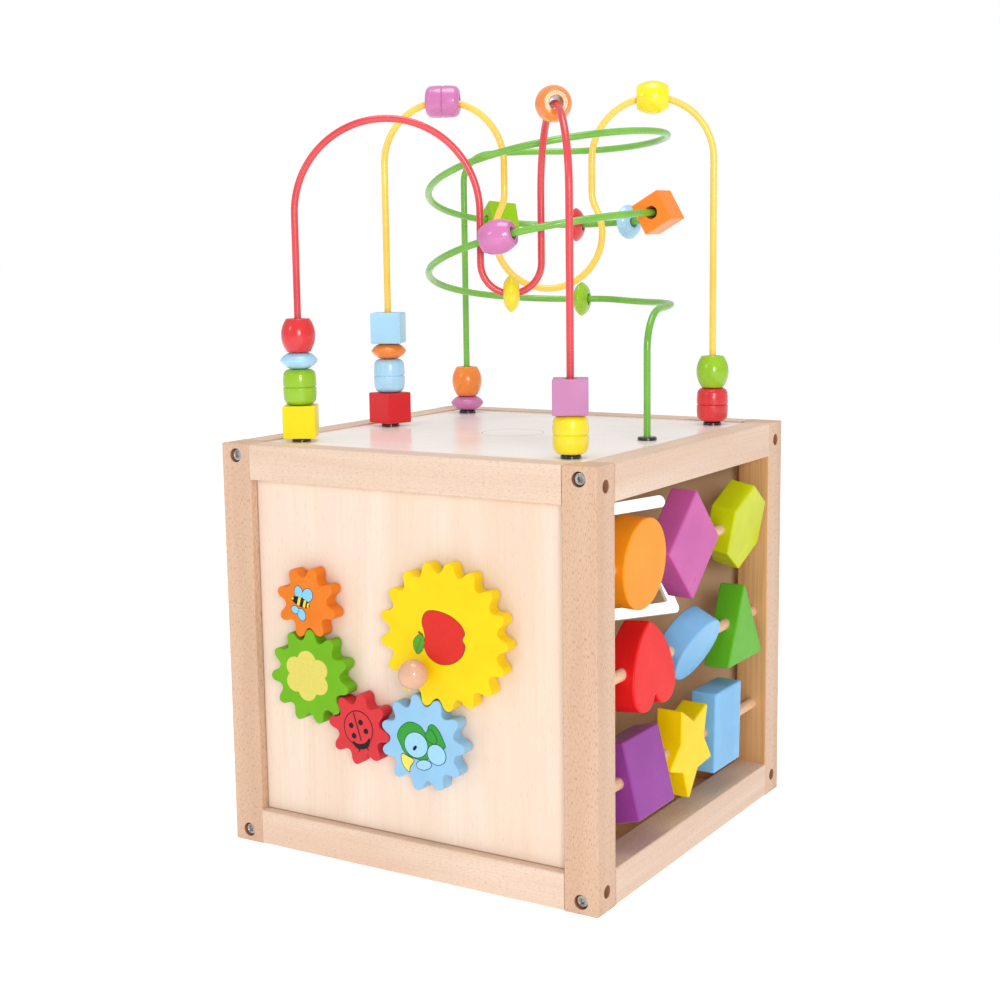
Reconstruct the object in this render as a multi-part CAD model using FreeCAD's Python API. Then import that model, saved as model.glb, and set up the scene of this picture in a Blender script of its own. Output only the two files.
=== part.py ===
"""Wooden baby activity cube with a bead maze, gears, turning shapes, a slot maze and a clock.

Units are millimetres.  +Z is up and the base stands on z = 0.  The origin is the centre of
the footprint.  The gear face looks along -Y, the open side with the turning shapes along +X,
the slot maze is on the +Y side and the clock on the -X side.
"""
import FreeCAD
import Part
import math
import os

Vec = FreeCAD.Vector
X_AXIS = Vec(1, 0, 0)
Y_AXIS = Vec(0, 1, 0)
Z_AXIS = Vec(0, 0, 1)

# ---------------------------------------------------------------- driving dimensions
WIDTH = 300.0                # outside width and depth of the frame
HEIGHT = 291.0               # height of the frame
STOCK = 25.0                 # square beech bar used for posts and rails
EDGE_ROUND = 1.2             # softened edges of posts and rails

HALF = WIDTH / 2
INNER = HALF - STOCK         # inner faces of the posts and rails
RAIL_TOP = HEIGHT - STOCK    # underside of the top rails

PANEL_THICK = 5.0            # plywood side panels
PANEL_RECESS = 7.0           # side panels sit this far behind the outer faces
PANEL_TONGUE = 4.0           # side panels enter grooves in the frame by this much
PANEL_OUT = HALF - PANEL_RECESS
PANEL_IN = PANEL_OUT - PANEL_THICK

LID_THICK = 6.0              # lacquered top board, let into the frame
LID_HALF = HALF - 19.5
LID_TOP = HEIGHT - 1.0
FLOOR_THICK = 5.0            # floor board, let in flush with the underside

BOLT_SHANK_R = 2.4
BOLT_HEAD_R = 4.3
BOLT_HEAD_LENGTH = 3.0
BOLT_LENGTH = 52.0
BOLT_FRONT_INSET = 8.2       # bolts through the +-Y faces, from the top or bottom
BOLT_SIDE_INSET = 13.4       # bolts through the +-X faces, from the top or bottom
BOLT_FRONT_DEPTH = 1.6       # head recess in the +-Y faces
BOLT_SIDE_DEPTH = 9.0        # head recess in the +-X faces
BOLT_FRONT_HOLE_R = 5.0
BOLT_SIDE_HOLE_R = 4.4

WIRE_R = 2.5
BORE_R = 4.5                 # bore of every bead
GROMMET_R = 6.8
GROMMET_HEIGHT = 2.4
GROMMET_SLEEVE_R = 4.2
MAZE_FOOT = 110.0            # the wires stand on a grid with this half spacing
BEAD_GAP = 0.3

# a gear train of five with one tooth pitch
MODULE = 5.5
PRESSURE = math.radians(30)
ADDENDUM = 3.5
DEDENDUM = 4.2
BACKLASH = 0.45              # taken off each tooth at the pitch circle
GEAR_FRONT = -HALF - 5.0
GEAR_BACK = -PANEL_OUT - 0.6
GEAR_ROUND = 0.9
AXLE_R = 4.0
AXLE_HEAD_R = 5.2
YELLOW_GEAR_XZ = (37.5, 172.5)
GEAR_TRAIN = [
    # name, teeth, name of the driving gear, direction from the driving gear in degrees
    ("yellow_gear", 17, None, 0.0),
    ("blue_gear", 11, "yellow_gear", 256.4),
    ("red_gear", 8, "blue_gear", 177.5),
    ("green_gear", 11, "red_gear", 142.5),
    ("orange_gear", 8, "green_gear", 91.2),
]
YELLOW_TOOTH_ANGLE = 189.1   # one tooth of the first gear points this way
KNOB_R = 10.0
KNOB_OFFSET = (-16.2, -24.5)

ROD_R = 4.0
ROD_X = INNER + STOCK / 2
ROD_LEVELS = [72.5, 145.5, 218.5]
ROD_SOCKET = 10.0
BLOCK_THICK = 20.0
BLOCK_ROUND = 1.4
BLOCK_BORE_R = ROD_R + 0.08

SLOT_R = 5.0
SLOT_SLOPE = math.radians(12.6)

CLOCK_CENTRE = (0.0, 145.5)  # y and z of the clock pin
HAND_THICK = 2.4
HAND_GAP = 0.5               # between the panel, the two hands and the pin head
PIN_STANDOUT = 2 * HAND_THICK + 3 * HAND_GAP
PIN_HEAD = 2.0


# ---------------------------------------------------------------- small helpers
def box_between(low, high):
    """Box given by two opposite corners."""
    size = Vec(*high) - Vec(*low)
    return Part.makeBox(size.x, size.y, size.z, Vec(*low))


def fuse_all(shapes):
    result = shapes[0]
    for shape in shapes[1:]:
        result = result.fuse(shape)
    return result


def fillet_if_possible(shape, radius, edges):
    """Round the edges; keep the sharp shape when the rounding is not valid."""
    try:
        rounded = shape.makeFillet(radius, edges)
    except Part.OCCError:
        return shape
    return rounded if rounded.isValid() and rounded.Volume > 0 else shape


def aligned(shape, position, direction):
    """Turn a shape made along +Z so that it points along direction, then move it."""
    moved = shape.copy()
    turn = FreeCAD.Rotation(Z_AXIS, Vec(*direction))
    moved.Placement = FreeCAD.Placement(Vec(*position), turn)
    return moved


def export(name, shape):
    if isinstance(shape, list):
        shape = Part.Compound(shape)
    shape.exportStep("parts/" + name + ".step")


# ---------------------------------------------------------------- frame
def bolt_places():
    """Outer face point, inward direction, head depth and hole radius of every frame bolt."""
    places = []
    post = INNER + STOCK / 2
    for sx in (-1, 1):
        for sy in (-1, 1):
            for top in (False, True):
                z_front = HEIGHT - BOLT_FRONT_INSET if top else BOLT_FRONT_INSET
                z_side = HEIGHT - BOLT_SIDE_INSET if top else BOLT_SIDE_INSET
                places.append(((sx * post, sy * HALF, z_front), (0, -sy, 0),
                               BOLT_FRONT_DEPTH, BOLT_FRONT_HOLE_R))
                places.append(((sx * HALF, sy * post, z_side), (-sx, 0, 0),
                               BOLT_SIDE_DEPTH, BOLT_SIDE_HOLE_R))
    return places


def frame_bolts():
    """Socket-head bolts that pull the rails against the posts."""
    bolts = []
    for face_point, inward, depth, _ in bolt_places():
        head = Part.makeCylinder(BOLT_HEAD_R - 0.1, BOLT_HEAD_LENGTH)
        socket = Part.makeCylinder(1.9, 1.8)
        shank = Part.makeCylinder(BOLT_SHANK_R, BOLT_LENGTH, Vec(0, 0, BOLT_HEAD_LENGTH))
        bolt = head.cut(socket).fuse(shank)
        start = Vec(*face_point) + Vec(*inward) * depth
        bolts.append(aligned(bolt, start, inward))
    return bolts


def bolt_holes():
    """Counterbore and shank hole for every frame bolt."""
    holes = []
    for face_point, inward, depth, hole_r in bolt_places():
        bore_length = depth + BOLT_HEAD_LENGTH
        counterbore = Part.makeCylinder(hole_r, bore_length)
        shank_hole = Part.makeCylinder(BOLT_SHANK_R, BOLT_LENGTH + 1, Vec(0, 0, bore_length))
        holes.append(aligned(counterbore.fuse(shank_hole), face_point, inward))
    return holes


def panel_cutters():
    """Grooves for the three side panels and the rebates for the floor board and the lid."""
    reach = INNER + PANEL_TONGUE
    low, high = STOCK - PANEL_TONGUE, RAIL_TOP + PANEL_TONGUE
    return [
        box_between((-reach, -PANEL_OUT, low), (reach, -PANEL_IN, high)),
        box_between((-reach, PANEL_IN, low), (reach, PANEL_OUT, high)),
        box_between((-PANEL_OUT, -reach, low), (-PANEL_IN, reach, high)),
        box_between((-reach, -reach, -1), (reach, reach, FLOOR_THICK)),
        box_between((-LID_HALF, -LID_HALF, LID_TOP - LID_THICK), (LID_HALF, LID_HALF, HEIGHT + 1)),
    ]


def rounded_bar(low, high):
    """Square bar with its long outer edges softened."""
    bar = box_between(low, high)
    spans = [high[i] - low[i] for i in range(3)]
    longest = spans.index(max(spans))
    long_edges = [e for e in bar.Edges if abs(e.tangentAt(0)[longest]) > 0.9]
    return fillet_if_possible(bar, EDGE_ROUND, long_edges)


def corner_posts(cutters):
    posts = []
    for sx in (-1, 1):
        for sy in (-1, 1):
            xs = sorted((sx * INNER, sx * HALF))
            ys = sorted((sy * INNER, sy * HALF))
            post = rounded_bar((xs[0], ys[0], 0), (xs[1], ys[1], HEIGHT))
            for cutter in cutters:
                post = post.cut(cutter)
            if sx > 0:
                for level in ROD_LEVELS:
                    start = Vec(ROD_X, sy * (INNER + ROD_SOCKET), level)
                    post = post.cut(aligned(Part.makeCylinder(ROD_R, 20), start, (0, -sy, 0)))
            posts.append(post)
    return posts


def rails(z_low, cutters):
    """Four rails butted between the posts at one level."""
    z_high = z_low + STOCK
    bars = []
    for side in (-1, 1):
        across = sorted((side * INNER, side * HALF))
        bars.append(rounded_bar((-INNER, across[0], z_low), (INNER, across[1], z_high)))
        bars.append(rounded_bar((across[0], -INNER, z_low), (across[1], INNER, z_high)))
    finished = []
    for bar in bars:
        for cutter in cutters:
            bar = bar.cut(cutter)
        finished.append(bar)
    return finished


# ---------------------------------------------------------------- panels
def upright_panel():
    """Plywood panel standing in the XZ plane, its outer face at y = 0 and its back at +y."""
    reach = INNER + PANEL_TONGUE
    return box_between((-reach, 0, STOCK - PANEL_TONGUE),
                       (reach, PANEL_THICK, RAIL_TOP + PANEL_TONGUE))


def gear_panel(gear_centres):
    panel = upright_panel().translated(Vec(0, -PANEL_OUT, 0))
    for x, z in gear_centres.values():
        panel = panel.cut(Part.makeCylinder(AXLE_R, 40, Vec(x, -HALF, z), Y_AXIS))
    return panel


def straight_slot(start, end, radius, y_low, y_high):
    """Slot with round ends between two (x, z) points, cut through along Y."""
    length = math.hypot(end[0] - start[0], end[1] - start[1])
    rise = math.degrees(math.atan2(end[1] - start[1], end[0] - start[0]))
    depth = y_high - y_low
    bar = Part.makeBox(length, depth, 2 * radius, Vec(0, 0, -radius))
    ends = [Part.makeCylinder(radius, depth, Vec(x, 0, 0), Y_AXIS) for x in (0, length)]
    slot = fuse_all([bar] + ends).removeSplitter()
    slot.rotate(Vec(0, 0, 0), Y_AXIS, -rise)
    slot.translate(Vec(start[0], y_low, start[1]))
    return slot


def along_slope(point, distance):
    """Point reached from (x, z) by going the distance up the slot slope."""
    return (point[0] + distance * math.cos(SLOT_SLOPE), point[1] + distance * math.sin(SLOT_SLOPE))


UPPER_SLOT_END = (52.0, 223.0)
UPPER_SLOT_START = along_slope(UPPER_SLOT_END, -145.0)
LOWER_SLOT_END = (64.5, 138.2)
LOWER_SLOT_START = along_slope(LOWER_SLOT_END, -150.0)
RISER_END = (47.0, 174.0)


def maze_panel():
    """Back panel with two sloping slots, the lower one turning up into a short riser."""
    panel = upright_panel().translated(Vec(0, PANEL_IN, 0))
    slots = [(UPPER_SLOT_START, UPPER_SLOT_END), (LOWER_SLOT_START, LOWER_SLOT_END),
             (LOWER_SLOT_END, RISER_END)]
    for start, end in slots:
        panel = panel.cut(straight_slot(start, end, SLOT_R, PANEL_IN - 1, PANEL_OUT + 1))
    return panel


def maze_slider(centre):
    """Captive runner: a stem in the slot between an outer grip and an inner washer."""
    x, z = centre
    gap = 0.4
    stem = Part.makeCylinder(SLOT_R - 0.6, PANEL_THICK + 2 * gap, Vec(x, PANEL_IN - gap, z), Y_AXIS)
    grip = Part.makeCylinder(10.0, 6.0, Vec(x, PANEL_OUT + gap, z), Y_AXIS)
    grip = fillet_if_possible(grip, 2.0, [e for e in grip.Edges if e.Closed][:1])
    washer = Part.makeCylinder(9.0, 3.5, Vec(x, PANEL_IN - gap - 3.5, z), Y_AXIS)
    return fuse_all([stem, grip, washer]).removeSplitter()


def clock_panel():
    panel = upright_panel()
    panel.rotate(Vec(0, 0, 0), Z_AXIS, -90)
    panel.translate(Vec(-PANEL_OUT, 0, 0))
    y, z = CLOCK_CENTRE
    return panel.cut(Part.makeCylinder(AXLE_R, 40, Vec(-HALF, y, z), X_AXIS))


def clock_pin():
    """Headed pin that holds both hands against the clock panel."""
    y, z = CLOCK_CENTRE
    head_x = -PANEL_OUT - PIN_STANDOUT
    shaft = Part.makeCylinder(AXLE_R, -PANEL_IN - head_x, Vec(head_x, y, z), X_AXIS)
    head = Part.makeCylinder(7.0, PIN_HEAD, Vec(head_x - PIN_HEAD, y, z), X_AXIS)
    washer = Part.makeCylinder(8.0, 3.0, Vec(-PANEL_IN, y, z), X_AXIS)
    pin = fuse_all([shaft, head, washer]).removeSplitter()
    outer = head_x - PIN_HEAD
    head_rim = [e for e in pin.Edges if e.Closed and abs(e.BoundBox.XMax - outer) < 0.01]
    return fillet_if_possible(pin, 1.2, head_rim)


def clock_hand(length, x_outer, angle):
    """Pointed hand turning on the clock pin, built straight up and then turned."""
    y, z = CLOCK_CENTRE
    hub_r, thick = 11.0, HAND_THICK
    neck, tip = 5.0, 2.2
    outline = [Vec(0, -neck, 0), Vec(0, -neck, length - 26), Vec(0, -9, length - 26),
               Vec(0, -tip, length), Vec(0, tip, length), Vec(0, 9, length - 26),
               Vec(0, neck, length - 26), Vec(0, neck, 0)]
    arm = Part.Face(Part.makePolygon(outline + outline[:1])).extrude(X_AXIS * thick)
    hub = Part.makeCylinder(hub_r, thick, Vec(0, 0, 0), X_AXIS)
    bore = Part.makeCylinder(AXLE_R + 0.06, thick, Vec(0, 0, 0), X_AXIS)
    hand = arm.fuse(hub).removeSplitter().cut(bore)
    hand.rotate(Vec(0, 0, 0), X_AXIS, angle)
    hand.translate(Vec(x_outer, y, z))
    return hand


def top_panel():
    lid = box_between((-LID_HALF + 0.4, -LID_HALF + 0.4, LID_TOP - LID_THICK),
                      (LID_HALF - 0.4, LID_HALF - 0.4, LID_TOP))
    for x, y in wire_feet():
        lid = lid.cut(Part.makeCylinder(GROMMET_SLEEVE_R, 20, Vec(x, y, LID_TOP - 10)))
    return lid


def bottom_panel():
    reach = INNER + PANEL_TONGUE
    return box_between((-reach, -reach, 0), (reach, reach, FLOOR_THICK))


# ---------------------------------------------------------------- gears
def involute(angle):
    return math.tan(angle) - angle


def pitch_radius(teeth):
    return MODULE * teeth / 2


def tooth_half_angle(teeth, radius):
    """Half the angle filled by one tooth at this radius (involute flanks)."""
    pitch = pitch_radius(teeth)
    base = pitch * math.cos(PRESSURE)
    local = math.acos(min(1.0, base / radius))
    half = math.pi / (2 * teeth) - BACKLASH / (2 * pitch)
    return half + involute(PRESSURE) - involute(local)


def gear_outline(teeth, tooth_angle):
    """Closed smooth outline in the XZ plane around the origin."""
    pitch = pitch_radius(teeth)
    base = pitch * math.cos(PRESSURE)
    flank = [max(base, pitch - 1.9), pitch, pitch + 1.9]
    points = []
    for i in range(teeth):
        middle = math.radians(tooth_angle) + i * 2 * math.pi / teeth
        places = [(pitch - DEDENDUM, -math.pi / teeth)]
        places += [(r, -tooth_half_angle(teeth, r)) for r in flank]
        places += [(pitch + ADDENDUM, 0)]
        places += [(r, tooth_half_angle(teeth, r)) for r in reversed(flank)]
        points += [Vec(r * math.cos(middle + a), 0, r * math.sin(middle + a)) for r, a in places]
    curve = Part.BSplineCurve()
    curve.interpolate(Points=points, PeriodicFlag=True)
    return Part.Wire(curve.toShape())


def gear_layout():
    """Centre (x, z) and the angle of one tooth for every gear, so that all are in mesh."""
    centres = {}
    tooth_angles = {}
    counts = {}
    for name, teeth, driver, direction in GEAR_TRAIN:
        counts[name] = teeth
        if driver is None:
            centres[name] = YELLOW_GEAR_XZ
            tooth_angles[name] = YELLOW_TOOTH_ANGLE
            continue
        distance = pitch_radius(teeth) + pitch_radius(counts[driver])
        heading = math.radians(direction)
        x, z = centres[driver]
        centres[name] = (x + distance * math.cos(heading), z + distance * math.sin(heading))
        # the driver's nearest tooth lies this far past the line of centres, in teeth
        phase = (direction - tooth_angles[driver]) * counts[driver] / 360.0
        tooth_angles[name] = direction + 180.0 + (phase + 0.5) * 360.0 / teeth
    return centres, tooth_angles


def gear(teeth, centre, tooth_angle):
    """Thick wooden gear with a stepped blind bore that snaps over its axle."""
    blank = Part.Face(gear_outline(teeth, tooth_angle)).extrude(Y_AXIS * (GEAR_BACK - GEAR_FRONT))
    outline_edges = [e for e in blank.Edges if e.BoundBox.YLength < 0.01]
    blank = fillet_if_possible(blank, GEAR_ROUND, outline_edges)
    depth = GEAR_BACK - GEAR_FRONT
    bore = Part.makeCylinder(AXLE_R + 0.06, depth - 3.0, Vec(0, 3.0, 0), Y_AXIS)
    pocket = Part.makeCylinder(AXLE_HEAD_R + 0.3, 3.4, Vec(0, 3.0, 0), Y_AXIS)
    body = blank.cut(bore.fuse(pocket))
    body.translate(Vec(centre[0], GEAR_FRONT, centre[1]))
    return body


def gear_axles(gear_centres):
    """Headed pins pressed into the gear panel."""
    axles = []
    for x, z in gear_centres.values():
        head_start = GEAR_FRONT + 3.4
        head = Part.makeCylinder(AXLE_HEAD_R, 2.2, Vec(x, head_start, z), Y_AXIS)
        shaft = Part.makeCylinder(AXLE_R, -PANEL_IN - head_start, Vec(x, head_start, z), Y_AXIS)
        collar = Part.makeCylinder(8.0, 3.0, Vec(x, -PANEL_IN, z), Y_AXIS)
        axles.append(fuse_all([head, shaft, collar]).removeSplitter())
    return axles


def crank_knob(gear_centre):
    """Beech ball on a short neck, standing on the largest gear."""
    x = gear_centre[0] + KNOB_OFFSET[0]
    z = gear_centre[1] + KNOB_OFFSET[1]
    ball = Part.makeSphere(KNOB_R, Vec(x, GEAR_FRONT - KNOB_R - 1.0, z))
    neck = Part.makeCylinder(4.5, 6.0, Vec(x, GEAR_FRONT - 6.0, z), Y_AXIS)
    return ball.fuse(neck)


# ---------------------------------------------------------------- turning shapes
def extruded_outline(edges):
    """Block from a closed outline in the local YZ plane, centred on x = 0, edges softened."""
    face = Part.Face(Part.Wire(Part.__sortEdges__(edges)))
    block = face.extrude(X_AXIS * BLOCK_THICK)
    block.translate(Vec(-BLOCK_THICK / 2, 0, 0))
    return fillet_if_possible(block, BLOCK_ROUND, block.Edges)


def polygon_block(corners):
    """Block with straight sides through (y, z) corners."""
    points = [Vec(0, y, z) for y, z in corners]
    return extruded_outline(Part.makePolygon(points + points[:1]).Edges)


def regular_corners(count, radius, first_angle):
    steps = [math.radians(first_angle + 360.0 * i / count) for i in range(count)]
    return [(radius * math.cos(a), radius * math.sin(a)) for a in steps]


def circle_block():
    return extruded_outline([Part.makeCircle(31.0, Vec(0, 0, 0), X_AXIS)])


def diamond_block():
    return polygon_block([(0, -39.0), (41.0, 0), (0, 39.0), (-41.0, 0)])


def hexagon_block():
    return polygon_block(regular_corners(6, 32.5, 30.0))


def heart_block():
    """Two lobe arcs, two side arcs and a blunt point at the top."""
    lobe_r, lobe_y, lobe_z = 16.0, 15.6, -12.0
    notch, point = Vec(0, 0, -17.5), Vec(0, 0, 31.0)
    edges = []
    for side in (-1, 1):
        outer = Vec(0, side * (lobe_y + lobe_r * math.cos(0.25)), lobe_z + lobe_r * math.sin(0.25))
        bottom = Vec(0, side * lobe_y, lobe_z - lobe_r)
        bulge = Vec(0, side * 18.2, 18.0)
        edges.append(Part.Arc(notch, Vec(0, side * 5.0, -25.0), bottom).toShape())
        edges.append(Part.Arc(bottom, Vec(0, side * (lobe_y + 12.6), lobe_z - 9.9), outer).toShape())
        edges.append(Part.Arc(outer, bulge, point).toShape())
    return extruded_outline(edges)


def oval_block():
    ellipse = Part.Ellipse(Vec(0, 0, 0), 29.0, 25.0)
    edge = ellipse.toShape()
    edge.rotate(Vec(0, 0, 0), Vec(1, 1, 1), 120)
    return extruded_outline([edge])


def triangle_block():
    return polygon_block([(-32.0, -29.5), (32.0, -29.5), (0, 29.5)])


def square_block():
    return polygon_block([(-27.0, -27.0), (27.0, -27.0), (27.0, 27.0), (-27.0, 27.0)])


def star_block():
    """Five-pointed star standing on one point, inner corners at half the radius."""
    tip_r, notch_r, lean = 37.0, 20.0, -6.0
    corners = []
    for i in range(5):
        corners += regular_corners(1, tip_r, -90.0 + lean + 72.0 * i)
        corners += regular_corners(1, notch_r, -54.0 + lean + 72.0 * i)
    return polygon_block(corners)


def rectangle_block():
    return polygon_block([(-23.0, -30.0), (23.0, -30.0), (23.0, 30.0), (-23.0, 30.0)])


BLOCKS = [
    # name, builder, rod index, y of the centre, outward lean of the upper edge in degrees
    ("orange_circle_block", circle_block, 2, -77.0, 3.0),
    ("pink_diamond_block", diamond_block, 2, 0.0, 2.0),
    ("lime_hexagon_block", hexagon_block, 2, 91.0, 11.0),
    ("red_heart_block", heart_block, 1, -65.0, -5.0),
    ("blue_oval_block", oval_block, 1, 8.0, 27.0),
    ("green_triangle_block", triangle_block, 1, 89.0, -1.0),
    ("purple_square_block", square_block, 0, -71.0, -13.8),
    ("yellow_star_block", star_block, 0, -3.0, 1.0),
    ("blue_rectangle_block", rectangle_block, 0, 58.5, 1.0),
]


def placed_block(builder, rod_index, y, lean):
    """Bore the block along Y, lean it about its rod and put it in place."""
    block = builder()
    bore = Part.makeCylinder(BLOCK_BORE_R, 120, Vec(0, -60, 0), Y_AXIS)
    block = block.cut(bore)
    block.rotate(Vec(0, 0, 0), Y_AXIS, lean)
    block.translate(Vec(ROD_X, y, ROD_LEVELS[rod_index]))
    return block


def shape_rods():
    reach = INNER + ROD_SOCKET
    return [Part.makeCylinder(ROD_R, 2 * reach, Vec(ROD_X, -reach, z), Y_AXIS) for z in ROD_LEVELS]


# ---------------------------------------------------------------- bead maze wires
FOOT_RED = [(-MAZE_FOOT, -MAZE_FOOT), (MAZE_FOOT, -MAZE_FOOT)]
FOOT_YELLOW = [(-MAZE_FOOT, 0.0), (MAZE_FOOT, MAZE_FOOT)]
FOOT_GREEN = [(-MAZE_FOOT, MAZE_FOOT), (MAZE_FOOT, 0.0)]
WIRE_BOTTOM = LID_TOP - LID_THICK - 6.0

RED_HEADING = math.radians(31.6)    # plan direction of the first red arch
RED_ARCH_R = 64.9
RED_VALLEY_R = 21.4
RED_ARCH_SPRING = 449.5             # height where the first arch starts
RED_VALLEY_SPRING = 414.0
RED_SECOND_SPRING = 460.0

YELLOW_ARCH_R = 45.1
YELLOW_SPRING = 487.5
YELLOW_LOOP_R = 40.4                # the hanging loop between the two arches
YELLOW_LOOP_Z = 434.0
YELLOW_NECK_R = 25.0

HELIX_CENTRE = (-2.1, 58.4)
HELIX_R = 90.0
HELIX_START_Z = 498.9
HELIX_PITCH = 58.0
HELIX_HEADING = math.radians(31.6)  # plan direction where the helix angle is zero
HELIX_LIFT_SIDE = 6.0               # the coil leans: extra height at helix angle 0
HELIX_LIFT_NEAR = 13.5              # extra height at helix angle 90 degrees
HELIX_DRIFT = 22.0                  # the lower turns drift this far towards angle 90, per turn
HELIX_DRIFT_FROM = 90.0
HELIX_STEP = 15                     # degrees between the corners of the wire path
HELIX_END = 660                     # the coil proper ends here and runs on level
HELIX_END_Z = 382.0
BEND_SHARE = 0.45                   # share of the shorter run that each bend takes up


def wire_feet():
    return FOOT_RED + FOOT_YELLOW + FOOT_GREEN


class UprightPlane:
    """Vertical plane through a foot; s runs along the heading and z is height."""

    def __init__(self, foot, heading):
        self.foot = foot
        self.heading = heading

    def point(self, s, z):
        x = self.foot[0] + s * math.cos(self.heading)
        y = self.foot[1] + s * math.sin(self.heading)
        return Vec(x, y, z)

    def line(self, s, z0, z1):
        return Part.makeLine(self.point(s, z0), self.point(s, z1))

    def arc(self, centre_s, centre_z, radius, angles):
        """Arc through three angles (degrees, measured from +s towards +z)."""
        points = [self.point(centre_s + radius * math.cos(math.radians(a)),
                             centre_z + radius * math.sin(math.radians(a))) for a in angles]
        return Part.Arc(*points).toShape()


def heading_between(start, end):
    return math.atan2(end[1] - start[1], end[0] - start[0])


def swept_wire(edges, start, direction):
    """Round wire following the joined edges."""
    path = Part.Wire(edges)
    profile = Part.Wire(Part.makeCircle(WIRE_R, start, direction))
    return path.makePipeShell([profile], True, True)


def red_planes():
    first = UprightPlane(FOOT_RED[0], RED_HEADING)
    crossing_s = 2 * RED_ARCH_R + 2 * RED_VALLEY_R
    crossing = first.point(crossing_s, 0)
    second = UprightPlane((crossing.x, crossing.y),
                          heading_between((crossing.x, crossing.y), FOOT_RED[1]))
    span = math.hypot(FOOT_RED[1][0] - crossing.x, FOOT_RED[1][1] - crossing.y)
    return first, crossing_s, second, span


def red_wire():
    """High arch, narrow valley, then a second arch turned towards the near corner."""
    first, crossing_s, second, span = red_planes()
    down_s = 2 * RED_ARCH_R
    edges = [
        first.line(0, WIRE_BOTTOM, RED_ARCH_SPRING),
        first.arc(RED_ARCH_R, RED_ARCH_SPRING, RED_ARCH_R, (180, 90, 0)),
        first.line(down_s, RED_ARCH_SPRING, RED_VALLEY_SPRING),
        first.arc(down_s + RED_VALLEY_R, RED_VALLEY_SPRING, RED_VALLEY_R, (180, 270, 360)),
        first.line(crossing_s, RED_VALLEY_SPRING, RED_SECOND_SPRING),
        second.arc(span / 2, RED_SECOND_SPRING, span / 2, (180, 90, 0)),
        second.line(span, RED_SECOND_SPRING, WIRE_BOTTOM),
    ]
    return swept_wire(edges, first.point(0, WIRE_BOTTOM), Z_AXIS)


def yellow_plane():
    plane = UprightPlane(FOOT_YELLOW[0], heading_between(*FOOT_YELLOW))
    span = math.hypot(FOOT_YELLOW[1][0] - FOOT_YELLOW[0][0], FOOT_YELLOW[1][1] - FOOT_YELLOW[0][1])
    return plane, span


def yellow_wire():
    """Two arches joined by a hanging round loop with a narrower neck, all in one plane."""
    plane, span = yellow_plane()
    middle = span / 2
    left_s = 2 * YELLOW_ARCH_R
    right_s = span - left_s
    neck_half = middle - left_s
    reach = YELLOW_LOOP_R + YELLOW_NECK_R
    rise = math.sqrt(reach ** 2 - (neck_half + YELLOW_NECK_R) ** 2)
    neck_z = YELLOW_LOOP_Z + rise
    turn = math.degrees(math.atan2(rise, neck_half + YELLOW_NECK_R))
    edges = [
        plane.line(0, WIRE_BOTTOM, YELLOW_SPRING),
        plane.arc(YELLOW_ARCH_R, YELLOW_SPRING, YELLOW_ARCH_R, (180, 90, 0)),
        plane.line(left_s, YELLOW_SPRING, neck_z),
        plane.arc(left_s - YELLOW_NECK_R, neck_z, YELLOW_NECK_R, (0, -turn / 2, -turn)),
        plane.arc(middle, YELLOW_LOOP_Z, YELLOW_LOOP_R, (180 - turn, 270, 360 + turn)),
        plane.arc(right_s + YELLOW_NECK_R, neck_z, YELLOW_NECK_R, (180 + turn, 180 + turn / 2, 180)),
        plane.line(right_s, neck_z, YELLOW_SPRING),
        plane.arc(span - YELLOW_ARCH_R, YELLOW_SPRING, YELLOW_ARCH_R, (180, 90, 0)),
        plane.line(span, YELLOW_SPRING, WIRE_BOTTOM),
    ]
    return swept_wire(edges, plane.point(0, WIRE_BOTTOM), Z_AXIS)


def helix_point(angle):
    """Point of the leaning coil; the angle grows downwards along the wire (degrees)."""
    a = math.radians(angle)
    side = Vec(math.cos(HELIX_HEADING), math.sin(HELIX_HEADING), 0)
    near = Vec(math.sin(HELIX_HEADING), -math.cos(HELIX_HEADING), 0)
    drift = HELIX_DRIFT * max(0.0, angle - HELIX_DRIFT_FROM) / 360.0
    height = (HELIX_START_Z - HELIX_PITCH * angle / 360.0
              + HELIX_LIFT_SIDE * math.cos(a) + HELIX_LIFT_NEAR * math.sin(a))
    centre = Vec(HELIX_CENTRE[0], HELIX_CENTRE[1], height) + near * drift
    return centre + (side * math.cos(a) + near * math.sin(a)) * HELIX_R


def helix_tangent(angle):
    step = helix_point(angle + 0.5) - helix_point(angle - 0.5)
    return step.normalize()


def bent_path(corners):
    """Straight runs through the corners, joined by tangent arcs."""
    edges = []
    start = corners[0]
    for before, corner, after in zip(corners, corners[1:], corners[2:]):
        back, ahead = before - corner, after - corner
        bend = BEND_SHARE * min(back.Length, ahead.Length)
        half_opening = back.getAngle(ahead) / 2
        back.normalize()
        ahead.normalize()
        arc_start = corner + back * bend
        arc_end = corner + ahead * bend
        radius = bend * math.tan(half_opening)
        to_centre = bend / math.cos(half_opening)
        middle = corner + (back + ahead).normalize() * (to_centre - radius)
        edges.append(Part.makeLine(start, arc_start))
        edges.append(Part.Arc(arc_start, middle, arc_end).toShape())
        start = arc_end
    edges.append(Part.makeLine(start, corners[-1]))
    return edges


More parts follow.
